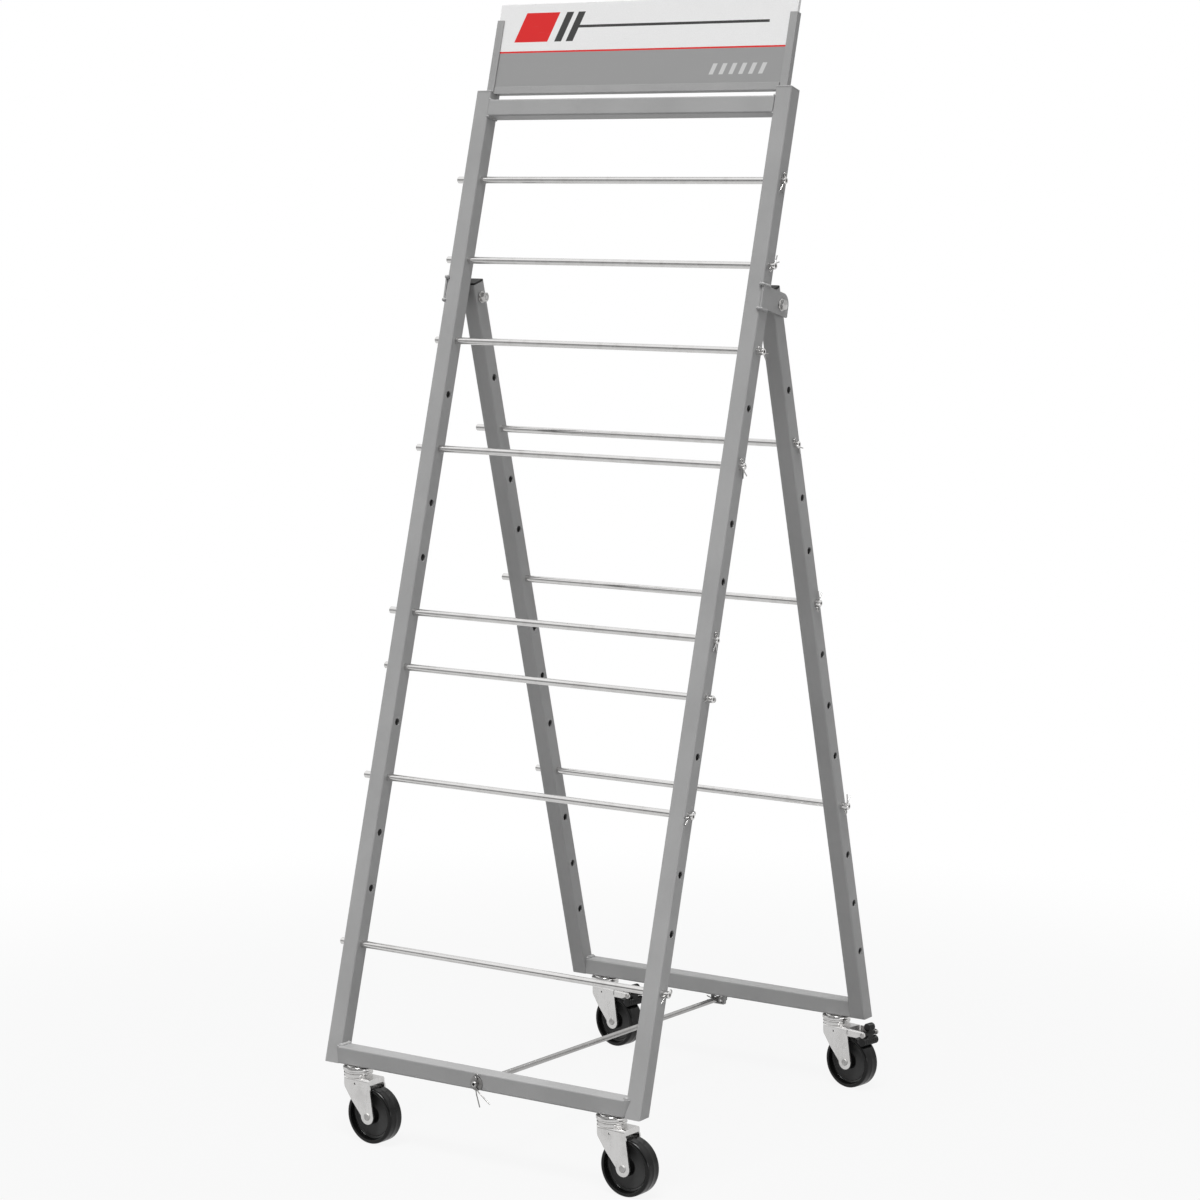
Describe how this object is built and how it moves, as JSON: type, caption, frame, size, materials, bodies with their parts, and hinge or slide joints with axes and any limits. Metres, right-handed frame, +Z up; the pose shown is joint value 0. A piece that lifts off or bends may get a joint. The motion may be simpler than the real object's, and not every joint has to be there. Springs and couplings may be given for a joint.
{
  "type": "clamp carrier",
  "caption": "Mobile A-frame clamp carrier: leaning front frame with pinned hanging rods, hinged rear frame, tie rod, lift-out sign panel and swivel castors.",
  "frame": {"origin": "on the floor, under the middle of the tubes' width and of the whole depth", "axes": "+X along the rods to the right as seen from the front, +Y from the front frame to the rear frame, +Z up"},
  "size_m": [0.567, 0.6816, 1.6064],
  "materials": {
    "frame_paint": "silver grey powder coat, satin",
    "zinc_plate": "bright zinc plate",
    "wheel_plastic": "moulded black, satin",
    "pedal_plastic": "moulded black",
    "plug_plastic": "moulded black",
    "sign_board": "printed board, white with grey band and red accents"
  },
  "bodies": {
    "front_frame": {"front_left_upright": "frame_paint", "front_right_upright": "frame_paint", "front_top_rail": "frame_paint", "front_bottom_rail": "frame_paint", "upright_caps": "frame_paint", "left_hinge_plate": "frame_paint", "right_hinge_plate": "frame_paint", "hinge_bolts": "zinc_plate", "hinge_washers": "zinc_plate", "hinge_nuts": "zinc_plate", "sign_sill": "frame_paint", "sign_left_post": "frame_paint", "sign_right_post": "frame_paint", "front_rod_1": "zinc_plate", "front_rod_2": "zinc_plate", "front_rod_3": "zinc_plate", "front_rod_4": "zinc_plate", "front_rod_5": "zinc_plate", "front_rod_6": "zinc_plate", "front_rod_7": "zinc_plate", "front_rod_8": "zinc_plate", "front_split_pins": "zinc_plate", "front_castor_nuts": "zinc_plate", "front_left_castor_head": "zinc_plate", "front_right_castor_head": "zinc_plate"},
    "rear_frame": {"rear_left_leg": "frame_paint", "rear_right_leg": "frame_paint", "rear_bottom_rail": "frame_paint", "rear_leg_plugs": "plug_plastic", "rear_rod_1": "zinc_plate", "rear_rod_2": "zinc_plate", "rear_rod_3": "zinc_plate", "rear_split_pins": "zinc_plate", "tie_rod_saddle": "frame_paint", "rear_castor_nuts": "zinc_plate", "rear_left_castor_head": "zinc_plate", "rear_right_castor_head": "zinc_plate"},
    "sign": {"sign_panel": "sign_board"},
    "tie_rod": {"tie_rod": "zinc_plate", "tie_rod_pins": "zinc_plate", "tie_rod_washer": "zinc_plate"},
    "front_left_castor": {"front_left_fork": "zinc_plate", "front_left_axle": "zinc_plate"},
    "front_left_wheel": {"front_left_wheel": "wheel_plastic"},
    "front_right_castor": {"front_right_fork": "zinc_plate", "front_right_axle": "zinc_plate"},
    "front_right_wheel": {"front_right_wheel": "wheel_plastic"},
    "rear_left_castor": {"rear_left_fork": "zinc_plate", "rear_left_axle": "zinc_plate", "rear_left_pedal_pin": "zinc_plate"},
    "rear_left_wheel": {"rear_left_wheel": "wheel_plastic"},
    "rear_left_pedal": {"rear_left_pedal": "pedal_plastic"},
    "rear_right_castor": {"rear_right_fork": "zinc_plate", "rear_right_axle": "zinc_plate", "rear_right_pedal_pin": "zinc_plate"},
    "rear_right_wheel": {"rear_right_wheel": "wheel_plastic"},
    "rear_right_pedal": {"rear_right_pedal": "pedal_plastic"}
  },
  "joints": [
    {"name": "fold", "type": "hinge", "parent": "front_frame", "child": "rear_frame", "pos_m": [0, 0.01134, 1.18111], "axis": [-1, 0, 0], "range_deg": [0, 20]},
    {"name": "tie_rod_pivot", "type": "hinge", "parent": "rear_frame", "child": "tie_rod", "pos_m": [0, 0.31124, 0.09921], "axis": [-1, 0, 0], "range_deg": [-8.4, 0]},
    {"name": "sign_lift", "type": "slide", "parent": "front_frame", "child": "sign", "axis": [0, 0.2588, 0.9659], "range_m": [0, 0.13]},
    {"name": "front_left_swivel", "type": "hinge", "parent": "front_frame", "child": "front_left_castor", "pos_m": [-0.213, -0.31883, 0.107], "axis": [0, 0, 1], "continuous": true},
    {"name": "front_left_spin", "type": "hinge", "parent": "front_left_castor", "child": "front_left_wheel", "pos_m": [-0.18257, -0.32096, 0.04], "axis": [0.0698, 0.9976, 0], "continuous": true},
    {"name": "front_right_swivel", "type": "hinge", "parent": "front_frame", "child": "front_right_castor", "pos_m": [0.213, -0.31883, 0.107], "axis": [0, 0, 1], "continuous": true},
    {"name": "front_right_spin", "type": "hinge", "parent": "front_right_castor", "child": "front_right_wheel", "pos_m": [0.24343, -0.32096, 0.04], "axis": [0.0698, 0.9976, 0], "continuous": true},
    {"name": "rear_left_swivel", "type": "hinge", "parent": "rear_frame", "child": "rear_left_castor", "pos_m": [-0.208, 0.31883, 0.107], "axis": [0, 0, 1], "continuous": true},
    {"name": "rear_left_spin", "type": "hinge", "parent": "rear_left_castor", "child": "rear_left_wheel", "pos_m": [-0.17806, 0.31301, 0.04], "axis": [0.1908, 0.9816, 0], "continuous": true},
    {"name": "rear_left_brake", "type": "hinge", "parent": "rear_left_castor", "child": "rear_left_pedal", "pos_m": [-0.14616, 0.30681, 0.0875], "axis": [0.1908, 0.9816, 0], "range_deg": [0, 12]},
    {"name": "rear_right_swivel", "type": "hinge", "parent": "rear_frame", "child": "rear_right_castor", "pos_m": [0.208, 0.31883, 0.107], "axis": [0, 0, 1], "continuous": true},
    {"name": "rear_right_spin", "type": "hinge", "parent": "rear_right_castor", "child": "rear_right_wheel", "pos_m": [0.23794, 0.31301, 0.04], "axis": [0.1908, 0.9816, 0], "continuous": true},
    {"name": "rear_right_brake", "type": "hinge", "parent": "rear_right_castor", "child": "rear_right_pedal", "pos_m": [0.26984, 0.30681, 0.0875], "axis": [0.1908, 0.9816, 0], "range_deg": [0, 12]}
  ],
  "couplings": [
    {"joint": "tie_rod_pivot", "follows": "fold", "ratio": -0.413}
  ]
}
